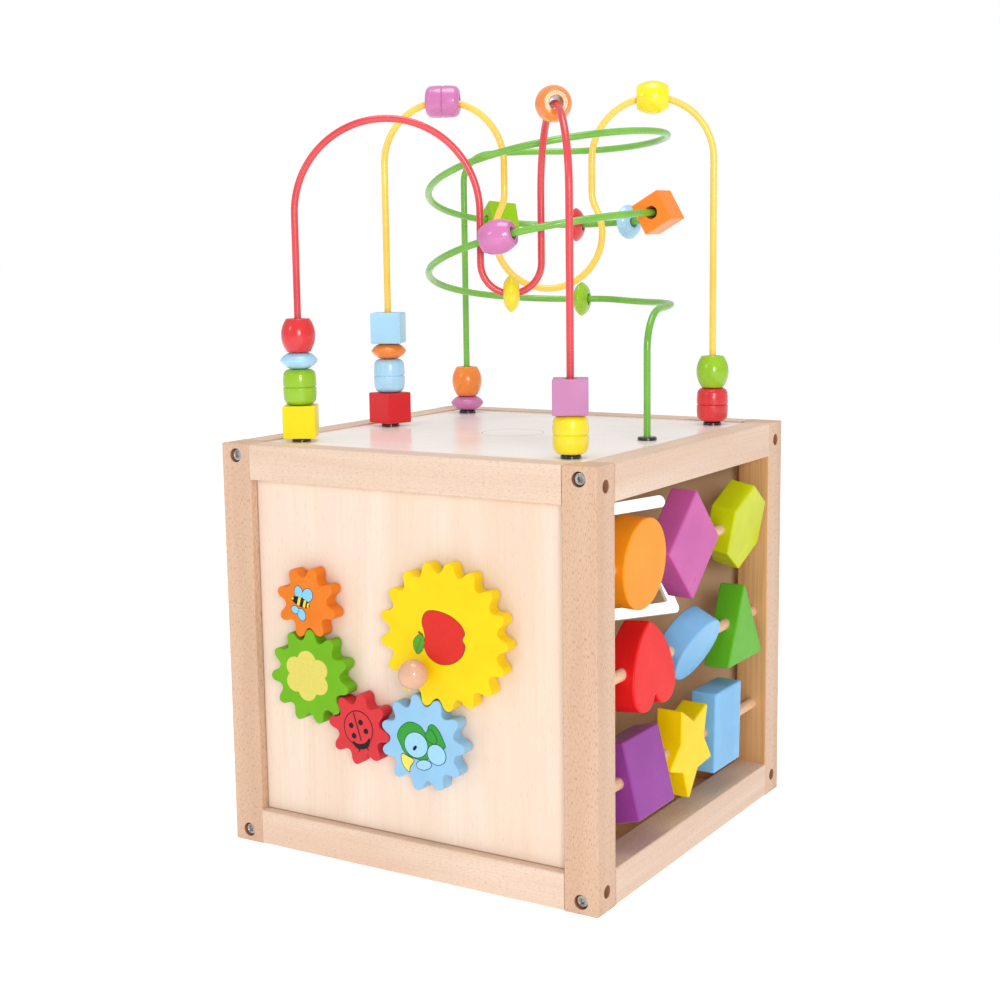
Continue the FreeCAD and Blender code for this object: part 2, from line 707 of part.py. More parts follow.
def green_wire():
    """Leg, bend into the coil, two turns down, a level lead-out and the second leg."""
    (x0, y0), (x1, y1) = FOOT_GREEN
    lead_in = [Vec(x0, y0, WIRE_BOTTOM), Vec(x0, y0, 498), Vec(-66, 125, 500)]
    coil = [helix_point(a) for a in range(-75, HELIX_END + 1, HELIX_STEP)]
    lead_out = [Vec(p.x, p.y, HELIX_END_Z) for p in map(helix_point, (680, 705, 730))]
    last_leg = [Vec(x1, y1, HELIX_END_Z - 3), Vec(x1, y1, WIRE_BOTTOM)]
    path = bent_path(lead_in + coil + lead_out + last_leg)
    return swept_wire(path, lead_in[0], Z_AXIS)


def wire_grommets():
    """Black push-in grommets: a rim above the lid, a sleeve through it and a cap below."""
    grommets = []
    for x, y in wire_feet():
        rim = Part.makeCylinder(GROMMET_R, GROMMET_HEIGHT, Vec(0, 0, LID_TOP))
        rim = fillet_if_possible(rim, 1.2, [rim.Edges[0]])
        sleeve = Part.makeCylinder(GROMMET_SLEEVE_R, LID_THICK + 1, Vec(0, 0, LID_TOP - LID_THICK - 0.5))
        cap = Part.makeCylinder(GROMMET_R, 3.0, Vec(0, 0, LID_TOP - LID_THICK - 3.0))
        bore = Part.makeCylinder(WIRE_R, 30, Vec(0, 0, LID_TOP - 20))
        grommet = fuse_all([rim, sleeve, cap]).cut(bore)
        grommets.append(grommet.translated(Vec(x, y, 0)))
    return grommets


# ---------------------------------------------------------------- beads
CUBE_SIZE = 23.2
CUBE_ROUND = 1.0
BARREL_LENGTH = 23.6
GROOVED_LENGTH = 25.4
DISC_LENGTH = 11.4
BEAD_LENGTH = {"cube": CUBE_SIZE, "barrel": BARREL_LENGTH, "grooved": GROOVED_LENGTH,
               "disc": DISC_LENGTH}


def bored(bead, length):
    """Cut the bore along Z and soften its mouths."""
    bead = bead.cut(Part.makeCylinder(BORE_R, length + 4, Vec(0, 0, -length / 2 - 2)))
    mouths = [e for e in bead.Edges if e.Closed and abs(e.BoundBox.XLength - 2 * BORE_R) < 0.01]
    return fillet_if_possible(bead, 0.6, mouths)


def turned_bead(edges, length):
    """Revolve an outline of XZ edges that starts and ends on the axis."""
    wire = Part.Wire(Part.__sortEdges__(edges))
    return bored(Part.Face(wire).revolve(Vec(0, 0, 0), Z_AXIS, 360), length)


def cube_bead():
    half = CUBE_SIZE / 2
    cube = Part.makeBox(CUBE_SIZE, CUBE_SIZE, CUBE_SIZE, Vec(-half, -half, -half))
    return bored(fillet_if_possible(cube, CUBE_ROUND, cube.Edges), CUBE_SIZE)


def side_profile(points, bulges):
    """Join (r, z) points with arcs through the given middle points; None gives a line."""
    edges = []
    for (start, end), middle in zip(zip(points, points[1:]), bulges):
        a, b = Vec(start[0], 0, start[1]), Vec(end[0], 0, end[1])
        if middle is None:
            edges.append(Part.makeLine(a, b))
        else:
            edges.append(Part.Arc(a, Vec(middle[0], 0, middle[1]), b).toShape())
    return edges


def barrel_bead():
    """Drum with strongly bulging sides and small shoulders."""
    h = BARREL_LENGTH / 2
    points = [(0, -h), (7.6, -h), (8.8, -h + 0.9), (8.8, h - 0.9), (7.6, h), (0, h), (0, -h)]
    bulges = [None, (8.45, -h + 0.3), (12.1, 0), (8.45, h - 0.3), None, None]
    return turned_bead(side_profile(points, bulges), BARREL_LENGTH)


def grooved_bead():
    """Straight drum with wide rounded shoulders and a fine groove round the middle."""
    h = GROOVED_LENGTH / 2
    points = [(0, -h), (6.9, -h), (11.5, -h + 4.9), (11.8, -0.8), (11.1, 0), (11.8, 0.8),
              (11.5, h - 4.9), (6.9, h), (0, h), (0, -h)]
    bulges = [None, (10.2, -h + 1.5), (11.8, -4.2), None, None, (11.8, 4.2), (10.2, h - 1.5), None, None]
    return turned_bead(side_profile(points, bulges), GROOVED_LENGTH)


def disc_bead():
    """Lens-shaped disc with a narrow rounded rim."""
    h = DISC_LENGTH / 2
    points = [(0, -h), (6.2, -h), (12.9, -0.9), (12.9, 0.9), (6.2, h), (0, h), (0, -h)]
    bulges = [None, (10.3, -h + 1.9), (13.3, 0), (10.3, h - 1.9), None, None]
    return turned_bead(side_profile(points, bulges), DISC_LENGTH)


BEAD_BUILDERS = {"cube": cube_bead, "barrel": barrel_bead, "grooved": grooved_bead,
                 "disc": disc_bead}

STACKS = [
    # foot of the leg, then the beads from the lid upwards: name, kind, turn about the wire
    (FOOT_RED[0], [("bead_yellow_cube", "cube", 31.0), ("bead_green_grooved", "grooved", 0),
                   ("bead_sky_disc", "disc", 0), ("bead_red_barrel", "barrel", 0)]),
    (FOOT_RED[1], [("bead_yellow_grooved", "grooved", 0), ("bead_lilac_cube", "cube", 28.0)]),
    (FOOT_YELLOW[0], [("bead_red_cube", "cube", 74.0), ("bead_sky_grooved", "grooved", 0),
                      ("bead_orange_disc", "disc", 0), ("bead_sky_cube", "cube", 24.0)]),
    (FOOT_YELLOW[1], [("bead_red_grooved", "grooved", 0), ("bead_green_barrel", "barrel", 0)]),
    (FOOT_GREEN[0], [("bead_purple_disc", "disc", 0), ("bead_orange_barrel_low", "barrel", 0)]),
]

COIL_BEADS = [
    # name, kind, helix angle, turn about the wire
    ("bead_green_cube", "cube", 246.0, 20.0),
    ("bead_red_disc", "disc", 286.0, 0),
    ("bead_sky_coil_disc", "disc", 316.0, 0),
    ("bead_orange_cube", "cube", 392.0, 30.0),
    ("bead_purple_barrel", "barrel", 475.0, 0),
    ("bead_green_disc", "disc", 648.0, 0),
]


def stacked_beads():
    """Beads resting on each other above the grommets of the straight legs."""
    beads = {}
    for (x, y), stack in STACKS:
        bottom = LID_TOP + GROMMET_HEIGHT + BEAD_GAP
        for name, kind, turn in stack:
            bead = BEAD_BUILDERS[kind]()
            bead.rotate(Vec(0, 0, 0), Z_AXIS, turn)
            bead.translate(Vec(x, y, bottom + BEAD_LENGTH[kind] / 2))
            beads[name] = bead
            bottom += BEAD_LENGTH[kind] + BEAD_GAP
    return beads


def arc_beads():
    """Beads sitting at the top of an arch or the bottom of a valley."""
    first, crossing_s, second, span = red_planes()
    plane, yellow_span = yellow_plane()
    valley_s = 2 * RED_ARCH_R + RED_VALLEY_R
    places = [
        ("bead_yellow_disc", "disc", first, valley_s, RED_VALLEY_SPRING - RED_VALLEY_R),
        ("bead_orange_barrel_top", "barrel", second, span / 2, RED_SECOND_SPRING + span / 2),
        ("bead_purple_grooved", "grooved", plane, YELLOW_ARCH_R, YELLOW_SPRING + YELLOW_ARCH_R),
        ("bead_yellow_barrel", "barrel", plane, yellow_span - YELLOW_ARCH_R,
         YELLOW_SPRING + YELLOW_ARCH_R),
    ]
    beads = {}
    for name, kind, upright, s, z in places:
        along = (math.cos(upright.heading), math.sin(upright.heading), 0)
        beads[name] = aligned(BEAD_BUILDERS[kind](), upright.point(s, z), along)
    return beads


def coil_beads():
    """Beads threaded on the coil, each square to the wire where it sits."""
    beads = {}
    for name, kind, angle, turn in COIL_BEADS:
        bead = BEAD_BUILDERS[kind]()
        bead.rotate(Vec(0, 0, 0), Z_AXIS, turn)
        spun = Part.Compound([bead])
        beads[name] = aligned(spun, helix_point(angle), helix_tangent(angle)).Solids[0]
    return beads


# ---------------------------------------------------------------- build and export
def main():
    os.makedirs("parts", exist_ok=True)
    cutters = panel_cutters() + bolt_holes()
    gear_centres, tooth_angles = gear_layout()

    export("corner_posts", corner_posts(cutters))
    export("bottom_rails", rails(0, cutters))
    export("top_rails", rails(RAIL_TOP, cutters))
    export("frame_bolts", frame_bolts())
    export("gear_panel", gear_panel(gear_centres))
    export("maze_panel", maze_panel())
    export("clock_panel", clock_panel())
    export("top_panel", top_panel())
    export("bottom_panel", bottom_panel())

    for name, teeth, _, _ in GEAR_TRAIN:
        export(name, gear(teeth, gear_centres[name], tooth_angles[name]))
    export("gear_axles", gear_axles(gear_centres))
    export("crank_knob", crank_knob(gear_centres["yellow_gear"]))

    export("shape_rods", shape_rods())
    for name, builder, rod_index, y, lean in BLOCKS:
        export(name, placed_block(builder, rod_index, y, lean))

    export("maze_slider_upper", maze_slider(along_slope(UPPER_SLOT_START, 20.0)))
    export("maze_slider_lower", maze_slider(along_slope(LOWER_SLOT_START, 30.0)))
    export("clock_pin", clock_pin())
    hour_x = -PANEL_OUT - HAND_GAP - HAND_THICK
    export("clock_hour_hand", clock_hand(62.0, hour_x, 60.0))
    export("clock_minute_hand", clock_hand(88.0, hour_x - HAND_GAP - HAND_THICK, -60.0))

    export("red_wire", red_wire())
    export("yellow_wire", yellow_wire())
    export("green_wire", green_wire())
    export("wire_grommets", wire_grommets())
    for beads in (stacked_beads(), arc_beads(), coil_beads()):
        for name, bead in beads.items():
            export(name, bead)


main()
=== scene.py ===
"""Baby activity cube: finishes, printed pictures, clock dial, bolts, light and camera."""
import bmesh
import bpy
import math
from mathutils import Matrix, Vector


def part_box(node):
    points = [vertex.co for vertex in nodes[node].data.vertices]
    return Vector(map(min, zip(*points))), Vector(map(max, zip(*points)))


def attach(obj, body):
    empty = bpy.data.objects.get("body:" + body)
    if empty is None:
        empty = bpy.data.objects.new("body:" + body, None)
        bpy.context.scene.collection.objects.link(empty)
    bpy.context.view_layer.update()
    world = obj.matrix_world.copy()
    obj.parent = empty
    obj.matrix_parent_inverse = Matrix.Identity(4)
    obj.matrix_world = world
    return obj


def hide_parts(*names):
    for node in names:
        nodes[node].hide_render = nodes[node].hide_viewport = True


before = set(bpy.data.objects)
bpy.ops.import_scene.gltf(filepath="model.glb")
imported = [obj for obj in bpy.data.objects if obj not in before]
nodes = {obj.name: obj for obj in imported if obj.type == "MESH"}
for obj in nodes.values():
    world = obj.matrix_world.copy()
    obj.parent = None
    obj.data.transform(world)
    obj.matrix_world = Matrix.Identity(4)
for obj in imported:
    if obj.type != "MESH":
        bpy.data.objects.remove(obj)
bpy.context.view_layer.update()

MM = 0.001

# ---------------------------------------------------------------- dimensions taken from the frame
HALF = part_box("corner_posts")[1].x         # half the width and depth of the wooden cube
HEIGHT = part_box("corner_posts")[1].z
STOCK = 0.025                              # side of the square beech bar
INNER = HALF - STOCK                       # inner faces of the posts and rails
POST_CENTRE = INNER + STOCK / 2
LID_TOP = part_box("top_panel")[1].z
GEAR_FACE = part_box("blue_gear")[0].y
CLOCK_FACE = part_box("clock_panel")[0].x
MAZE_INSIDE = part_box("maze_panel")[0].y
PANEL_FACE = -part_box("gear_panel")[0].y    # distance of the panels' outer faces from the centre

BOLT_HOLE = 0.0051             # radius of the posts' bolt holes, with a little to spare
BOLT_HOLE_DEPTH = 0.0135
SKIN = 0.0003                  # a surface this far below a face no longer belongs to it
SOCKET_ACROSS = 1.75           # half the width across the flats of a bolt's hexagon socket, in mm
INK_LAYER = 0.05               # thickness of one printed layer, in mm
INK_LIFT = 0.02                # gap between the wood and the first layer, in mm
ROUND_STEPS = 36               # sides of a bolt head's circle


def middle(node):
    """Centre of a CAD node's box."""
    low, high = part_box(node)
    return (low + high) / 2


def srgb(red, green, blue):
    """Linear colour from the usual 0-255 screen values."""
    def linear(value):
        value /= 255
        return value / 12.92 if value <= 0.04045 else ((value + 0.055) / 1.055) ** 2.4
    return (linear(red), linear(green), linear(blue), 1.0)


# ---------------------------------------------------------------- material building
class Finish:
    """One node material, with short calls for the nodes that every finish needs."""

    def __init__(self, name):
        self.material = bpy.data.materials.new(name)
        self.material.use_nodes = True
        self.tree = self.material.node_tree
        self.shader = self.tree.nodes["Principled BSDF"]
        self.place = self.add("ShaderNodeTexCoord").outputs["Object"]

    def add(self, kind, **settings):
        """New node with some of its settings."""
        node = self.tree.nodes.new(kind)
        for key, value in settings.items():
            setattr(node, key, value)
        return node

    def feed(self, socket, value):
        """Link a socket, or set a plain value."""
        if isinstance(value, bpy.types.NodeSocket):
            self.tree.links.new(value, socket)
        else:
            socket.default_value = value

    def set(self, **values):
        """Inputs of the main shader, with _ in place of the spaces in their names."""
        for key, value in values.items():
            self.feed(self.shader.inputs[key.replace("_", " ")], value)

    def stretched(self, scale):
        """The surface position with its own scale along each axis, in cycles per metre."""
        node = self.add("ShaderNodeVectorMath", operation="MULTIPLY")
        self.feed(node.inputs[0], self.place)
        node.inputs[1].default_value = scale
        return node.outputs[0]

    def axes(self):
        """The X, Y and Z of the surface position."""
        node = self.add("ShaderNodeSeparateXYZ")
        self.feed(node.inputs[0], self.place)
        return node.outputs["X"], node.outputs["Y"], node.outputs["Z"]

    def noise(self, scale, detail=2.0, distortion=0.0):
        """Noise with its own scale along each axis."""
        node = self.add("ShaderNodeTexNoise")
        self.feed(node.inputs["Vector"], self.stretched(scale))
        node.inputs["Scale"].default_value = 1.0
        node.inputs["Detail"].default_value = detail
        node.inputs["Distortion"].default_value = distortion
        return node.outputs["Fac"]

    def between(self, value, low, high, to_low=0.0, to_high=1.0):
        """Map value from low..high to the given range, clamped."""
        node = self.add("ShaderNodeMapRange")
        self.feed(node.inputs["Value"], value)
        node.inputs["From Min"].default_value = low
        node.inputs["From Max"].default_value = high
        node.inputs["To Min"].default_value = to_low
        node.inputs["To Max"].default_value = to_high
        return node.outputs["Result"]

    def maths(self, operation, first, second=0.0):
        """One step of arithmetic on sockets or plain values."""
        node = self.add("ShaderNodeMath", operation=operation)
        self.feed(node.inputs[0], first)
        self.feed(node.inputs[1], second)
        return node.outputs[0]

    def blend(self, amount, first, second):
        """Mix two colours."""
        node = self.add("ShaderNodeMix", data_type="RGBA")
        self.feed(node.inputs[0], amount)
        self.feed(node.inputs[6], first)
        self.feed(node.inputs[7], second)
        return node.outputs[2]

    def bump(self, height, distance, strength=1.0):
        """Fine relief of the surface; distance is its depth in metres."""
        node = self.add("ShaderNodeBump")
        self.feed(node.inputs["Height"], height)
        node.inputs["Distance"].default_value = distance
        node.inputs["Strength"].default_value = strength
        self.feed(self.shader.inputs["Normal"], node.outputs["Normal"])

    def worn_edges(self, width):
        """Mask that is high where the surface turns a corner."""
        bevel = self.add("ShaderNodeBevel", samples=4)
        bevel.inputs["Radius"].default_value = width
        geometry = self.add("ShaderNodeNewGeometry")
        dot = self.add("ShaderNodeVectorMath", operation="DOT_PRODUCT")
        self.feed(dot.inputs[0], bevel.outputs[0])
        self.feed(dot.inputs[1], geometry.outputs["Normal"])
        return self.between(dot.outputs["Value"], 0.98, 0.80)


def grain_scale(direction, along, across):
    """Noise scale that is stretched along the grain."""
    return tuple(along if axis == direction else across for axis in "XYZ")


def swap_for_side_rails(finish):
    """Turn the pattern on bars lying along Y so that their grain also follows the bar."""
    x, y, z = finish.axes()
    on_side = finish.maths("GREATER_THAN", finish.maths("ABSOLUTE", x), INNER)
    turned = finish.add("ShaderNodeCombineXYZ")
    finish.feed(turned.inputs["X"], y)
    finish.feed(turned.inputs["Y"], x)
    finish.feed(turned.inputs["Z"], z)
    choose = finish.add("ShaderNodeMix", data_type="VECTOR")
    finish.feed(choose.inputs[0], on_side)
    finish.feed(choose.inputs[4], finish.place)
    finish.feed(choose.inputs[5], turned.outputs[0])
    finish.place = choose.outputs[1]


def beech(name, direction, light, dark, inward=None, swap=False, fleck=0.30, coat=0.0, holes=False):
    """Beech bar: soft bands, fine fibres and the short dark flecks typical of the wood.

    With inward given, the faces that look into the cube are browner: partly the rawer wood inside, partly
    painted shade of the cube's interior.
    With holes, the walls of the bolt holes get painted shade.
    """
    finish = Finish(name)
    inside = inward_faces(finish, inward) if inward else None
    if swap:
        swap_for_side_rails(finish)
    bands = finish.noise(grain_scale(direction, 3, 45), 3.0, 0.6)
    fibres = finish.noise(grain_scale(direction, 14, 900), 4.0)
    flecks = finish.noise(grain_scale(direction, 360, 1900), 1.0)
    colour = finish.blend(finish.between(bands, 0.38, 0.66), light, dark)
    colour = finish.blend(finish.between(fibres, 0.45, 0.75, 0.0, 0.30), colour, srgb(206, 164, 134))
    fleck_mask = finish.between(flecks, 0.54, 0.68, 0.0, fleck)
    colour = finish.blend(fleck_mask, colour, srgb(164, 116, 88))
    # painted shade: the faces looking into the cube turn browner, partly raw wood and partly the shade
    # inside
    if inside is not None:
        raw_and_shaded = finish.blend(finish.between(bands, 0.40, 0.60), srgb(222, 172, 118), srgb(204, 146, 92))
        raw_and_shaded = finish.blend(finish.between(fibres, 0.42, 0.70, 0.0, 0.45), raw_and_shaded, srgb(180, 120, 72))
        colour = finish.blend(inside, colour, raw_and_shaded)
    if holes:
        # painted shade: the bolt holes' walls are darkened as if in shadow
        colour = finish.blend(bolt_hole_walls(finish), colour, srgb(166, 116, 86))
    finish.set(Base_Color=colour, Specular_IOR_Level=0.35,
               Roughness=finish.between(fibres, 0.3, 0.7, 0.42, 0.56),
               Coat_Weight=coat, Coat_Roughness=0.12)
    finish.bump(finish.maths("SUBTRACT", fibres, fleck_mask), 0.0001, 0.4)
    return finish.material


def inward_faces(finish, which):
    """Mask of the faces that look into the cube, behind the panels.

    Those faces lie at INNER: on a post that is the smaller of |x| and |y| (which is MINIMUM), on a
    rail the larger one (MAXIMUM).
    """
    x, y, _ = finish.axes()
    depth = finish.maths("ABSOLUTE", y)
    reach = finish.maths(which, finish.maths("ABSOLUTE", x), depth)
    inner = finish.between(reach, INNER + 0.0006, INNER + 0.0002)
    behind_panels = finish.maths("LESS_THAN", depth, PANEL_FACE)
    beside_clock = finish.maths("GREATER_THAN", x, -PANEL_FACE)
    return finish.maths("MULTIPLY", inner, finish.maths("MULTIPLY", behind_panels, beside_clock))


def bolt_hole_walls(finish):
    """Mask of painted shade in the posts' bolt holes: close to a bolt's axis and below the face it sinks
    into.
    """
    x, y, z = finish.axes()
    width = finish.maths("ABSOLUTE", x)
    depth = finish.maths("ABSOLUTE", y)
    level = finish.maths("ABSOLUTE", finish.maths("SUBTRACT", z, HEIGHT / 2))
    masks = []
    for sunk, across in ((width, depth), (depth, width)):
        off_axis = finish.maths("ABSOLUTE", finish.maths("SUBTRACT", across, POST_CENTRE))
        near = finish.between(off_axis, BOLT_HOLE + 0.0002, BOLT_HOLE)
        below = finish.between(sunk, HALF - SKIN, HALF - 2 * SKIN)
        bottom = HALF - BOLT_HOLE_DEPTH
        above = finish.between(sunk, bottom - 0.0005, bottom)
        masks.append(finish.maths("MULTIPLY", near, finish.maths("MULTIPLY", below, above)))
    between_ends = finish.between(level, HEIGHT / 2 - SKIN, HEIGHT / 2 - 2 * SKIN)
    return finish.maths("MULTIPLY", finish.maths("MAXIMUM", *masks), between_ends)


def birch(name, direction, light, dark, gloss=False, inside=None, shadow_seam_axis=None):
    """Plywood face: pale wandering figure, satin or with a glossier lacquer.

    The axis named across a framed panel gives that panel's edges a painted shadow line where they pass
    behind the frame.
    """
    finish = Finish(name)
    grain_strength = 0.14 if gloss else 0.30
    figure = finish.noise(grain_scale(direction, 2.2, 16), 4.0, 1.4)
    fibres = finish.noise(grain_scale(direction, 9, 420), 3.0)
    pores = finish.noise(grain_scale(direction, 150, 1300), 1.0)
    colour = finish.blend(finish.between(figure, 0.36, 0.68), light, dark)
    fibre_mask = finish.between(fibres, 0.48, 0.8, 0.0, grain_strength)
    colour = finish.blend(fibre_mask, colour, srgb(220, 188, 156))
    pore_mask = finish.between(pores, 0.64, 0.74, 0.0, grain_strength)
    colour = finish.blend(pore_mask, colour, srgb(196, 152, 116))
    if shadow_seam_axis is not None:
        # painted shadow: a dark line along the panel's edges where it meets the frame
        colour = finish.blend(panel_edge(finish, shadow_seam_axis), colour, srgb(128, 88, 60))
    if inside is not None:
        colour = inside(finish, colour)
    if gloss:
        finish.set(Base_Color=colour, Roughness=finish.between(figure, 0.3, 0.7, 0.17, 0.24))
        finish.bump(fibres, 0.00003, 0.3)
    else:
        finish.set(Base_Color=colour, Roughness=finish.between(fibres, 0.3, 0.7, 0.40, 0.52),
                   Specular_IOR_Level=0.3)
        finish.bump(fibres, 0.00006, 0.4)
    return finish.material


def panel_edge(finish, axis):
    """Narrow mask of painted shadow where a panel disappears behind the posts and rails around it."""
    x, y, z = finish.axes()
    across = finish.maths("SUBTRACT", finish.maths("ABSOLUTE", x if axis == "X" else y), INNER)
    level = finish.maths("ABSOLUTE", finish.maths("SUBTRACT", z, HEIGHT / 2))
    level = finish.maths("SUBTRACT", level, HEIGHT / 2 - STOCK)
    nearest = finish.maths("MAXIMUM", across, level)
    return finish.between(nearest, -0.0011, -0.0004, 0.0, 0.75)


def darker_inside(finish, colour):
    """The inner side of the maze panel is browner than its lacquered outer side: partly the raw ply, partly
    painted shade of the cube's interior.
    """
    depth = finish.axes()[1]
    inner = finish.between(depth, MAZE_INSIDE + 0.0008, MAZE_INSIDE + 0.0002)
    return finish.blend(inner, colour, srgb(240, 202, 160))


def darkened(colour, factor):
    """The colour with its three channels scaled."""
    return tuple(value * factor for value in colour[:3]) + (1.0,)


def painted_wood(name, colour, roughness=0.3, gloss=0.5, wear_and_highlight=0.16):
    """Opaque paint that lets the grain show faintly; its edges are paler, partly rubbed wear and partly a
    painted highlight on the rounded edges.
    """
    finish = Finish(name)
    deep = darkened(colour, 0.90)
    pale = tuple(value + (1 - value) * 0.45 for value in colour[:3]) + (1.0,)
    cloud = finish.noise((38, 38, 38), 3.0)
    grain = finish.noise(grain_scale("Z", 18, 420), 3.0)
    tint = finish.blend(finish.between(cloud, 0.35, 0.7), colour, deep)
    tint = finish.blend(finish.between(grain, 0.5, 0.8, 0.0, 0.16), tint, deep)
    # pale edges: partly rubbed wear, partly a painted highlight where the rounded edges catch the light
    rubbed_and_highlit = finish.between(cloud, 0.45, 0.72, wear_and_highlight, wear_and_highlight * 2)
    edges = finish.maths("MULTIPLY", finish.worn_edges(0.0012), rubbed_and_highlit)
    finish.set(Base_Color=finish.blend(edges, tint, pale), Specular_IOR_Level=gloss,
               Roughness=finish.between(cloud, 0.3, 0.7, roughness - 0.04, roughness + 0.05))
    finish.bump(grain, 0.00004, 0.25)
    return finish.material


def bead_lacquer(name, colour):
    """Thick glossy lacquer on turned wood, with very shallow waves left by dipping."""
    finish = Finish(name)
    deep = darkened(colour, 0.88)
    cloud = finish.noise((70, 70, 70), 2.0)
    rings = finish.noise((110, 110, 520), 2.0)
    tint = finish.blend(finish.between(cloud, 0.35, 0.7), colour, deep)
    tint = finish.blend(finish.between(rings, 0.55, 0.8, 0.0, 0.2), tint, deep)
    finish.set(Base_Color=tint, Roughness=finish.between(cloud, 0.3, 0.7, 0.20, 0.28),
               Coat_Weight=0.35, Coat_Roughness=0.08)
    finish.bump(finish.noise((150, 150, 150), 1.0), 0.00004, 0.25)
    return finish.material


def flat_lacquer(name, colour):
    """Thinner lacquer of the cube beads."""
    return painted_wood(name, colour, 0.30, 0.22, wear_and_highlight=0.10)


def wire_coating(name, colour, shade):
    """Soft plastic coat on steel wire: even colour, slightly darker rubbed patches."""
    finish = Finish(name)
    patches = finish.noise((24, 24, 24), 3.0)
    specks = finish.noise((700, 700, 700), 2.0)
    tint = finish.blend(finish.between(patches, 0.4, 0.72), colour, shade)
    finish.set(Base_Color=tint, Roughness=finish.between(specks, 0.3, 0.7, 0.24, 0.36),
               Coat_Weight=0.45, Coat_Roughness=0.1)
    finish.bump(specks, 0.00002, 0.3)
    return finish.material


def print_ink(name, colour):
    """Pad-printed ink with slightly uneven cover."""
    finish = Finish(name)
    deep = darkened(colour, 0.94)
    cover = finish.noise((420, 420, 420), 3.0)
    finish.set(Base_Color=finish.blend(finish.between(cover, 0.4, 0.75), colour, deep),
               Roughness=finish.between(cover, 0.3, 0.7, 0.37, 0.50),
               Specular_IOR_Level=0.2)
    finish.bump(cover, 0.00002, 0.3)
    return finish.material


def zinc_steel(name):
    """Zinc-plated steel with fine scratches and duller stains."""
    finish = Finish(name)
    scratches = finish.noise((900, 60, 900), 3.0)
    stains = finish.noise((160, 160, 160), 2.0)
    tint = finish.blend(finish.between(stains, 0.4, 0.7), srgb(176, 174, 172), srgb(120, 118, 118))
    finish.set(Base_Color=tint, Metallic=1.0, Roughness=finish.between(scratches, 0.3, 0.7, 0.22, 0.42))
    finish.bump(scratches, 0.00003, 0.5)
    return finish.material


def black_rubber(name):
    """Black rubber of the grommets, slightly shiny under a little dust."""
    finish = Finish(name)
    dust = finish.noise((300, 300, 300), 3.0)
    tint = finish.blend(finish.between(dust, 0.5, 0.8), srgb(14, 14, 16), srgb(44, 44, 48))
    finish.set(Base_Color=tint, Roughness=finish.between(dust, 0.3, 0.7, 0.16, 0.32),
               Coat_Weight=0.5, Coat_Roughness=0.1)
    finish.bump(dust, 0.00004, 0.4)
    return finish.material


# ---------------------------------------------------------------- colours of the toy
BLOCK_PAINT = {
    "orange": srgb(248, 150, 24),
    "pink": srgb(200, 92, 164),
    "lime": srgb(198, 208, 8),
    "red": srgb(232, 32, 32),
    "blue": srgb(126, 186, 232),
    "green": srgb(96, 178, 36),
    "purple": srgb(150, 66, 156),
    "yellow": srgb(250, 212, 0),
}
BEAD_PAINT = {
    "orange": srgb(244, 134, 42),
    "green": srgb(146, 195, 12),
    "red": srgb(219, 40, 46),
    "yellow": srgb(246, 224, 18),
    "purple": srgb(205, 118, 176),
    "sky": srgb(168, 214, 243),
    "lilac": srgb(194, 130, 174),
}
GEAR_PAINT = {
    "yellow_gear": srgb(240, 204, 0),
    "blue_gear": srgb(142, 190, 224),
    "red_gear": srgb(208, 50, 57),
    "green_gear": srgb(108, 174, 12),
    "orange_gear": srgb(226, 120, 26),
}


# ---------------------------------------------------------------- applying finishes to the CAD nodes
def dress(node, material):
    """Give every slot of the node one material and smooth its curved faces."""
    obj = nodes[node]
    if not obj.material_slots:
        obj.data.materials.append(material)
    for slot in obj.material_slots:
        slot.material = material
    obj.data.shade_smooth()
    keep_corners(obj)


def keep_corners(obj, angle=32.0):
    """Keep real corners crisp, flat faces flat, and let only the curved faces shade smoothly."""
    obj.data.set_sharp_from_angle(angle=math.radians(angle))
    weighted = obj.modifiers.new("flat_faces", "WEIGHTED_NORMAL")
    weighted.weight = 100
    weighted.keep_sharp = True


def named_colour(paints, node):
    """The colour word that is part of the node's name, and its colour."""
    word = next(word for word in paints if word in node)
    return word, paints[word]


def dress_frame():
    """Wood of the bars and boards, steel and rubber of the small parts."""
    post_light, post_dark = srgb(214, 182, 156), srgb(203, 168, 141)
    dress("corner_posts", beech("beech_upright", "Z", post_light, post_dark, "MINIMUM",
                                fleck=0.62, holes=True))
    rail_light, rail_dark = srgb(225, 202, 183), srgb(217, 188, 166)
    rail_wood = beech("beech_rail", "X", rail_light, rail_dark, "MAXIMUM", swap=True)
    dress("top_rails", rail_wood)
    dress("bottom_rails", rail_wood)
    panel_light, panel_dark = srgb(232, 213, 196), srgb(225, 200, 179)
    dress("gear_panel", birch("birch_front", "Z", panel_light, panel_dark, shadow_seam_axis="X"))
    dress("clock_panel", birch("birch_clock", "Z", panel_light, panel_dark, shadow_seam_axis="Y"))
    dress("maze_panel", birch("birch_maze", "Z", panel_light, panel_dark, inside=darker_inside, shadow_seam_axis="X"))
    dress("bottom_panel", birch("birch_floor", "X", srgb(236, 194, 150), srgb(226, 176, 128)))
    dress("top_panel", birch("birch_lacquered", "X", srgb(254, 246, 242), srgb(251, 240, 234), gloss=True))
    dress("shape_rods", beech("beech_rod", "Y", srgb(238, 200, 164), srgb(226, 184, 146)))
    pin_wood = beech("beech_knob", "Y", srgb(214, 166, 136), srgb(200, 148, 118), coat=0.8)
    dress("crank_knob", pin_wood)
    dress("clock_pin", pin_wood)
    dress("gear_axles", zinc_steel("steel_axle"))
    dress("wire_grommets", black_rubber("rubber_black"))


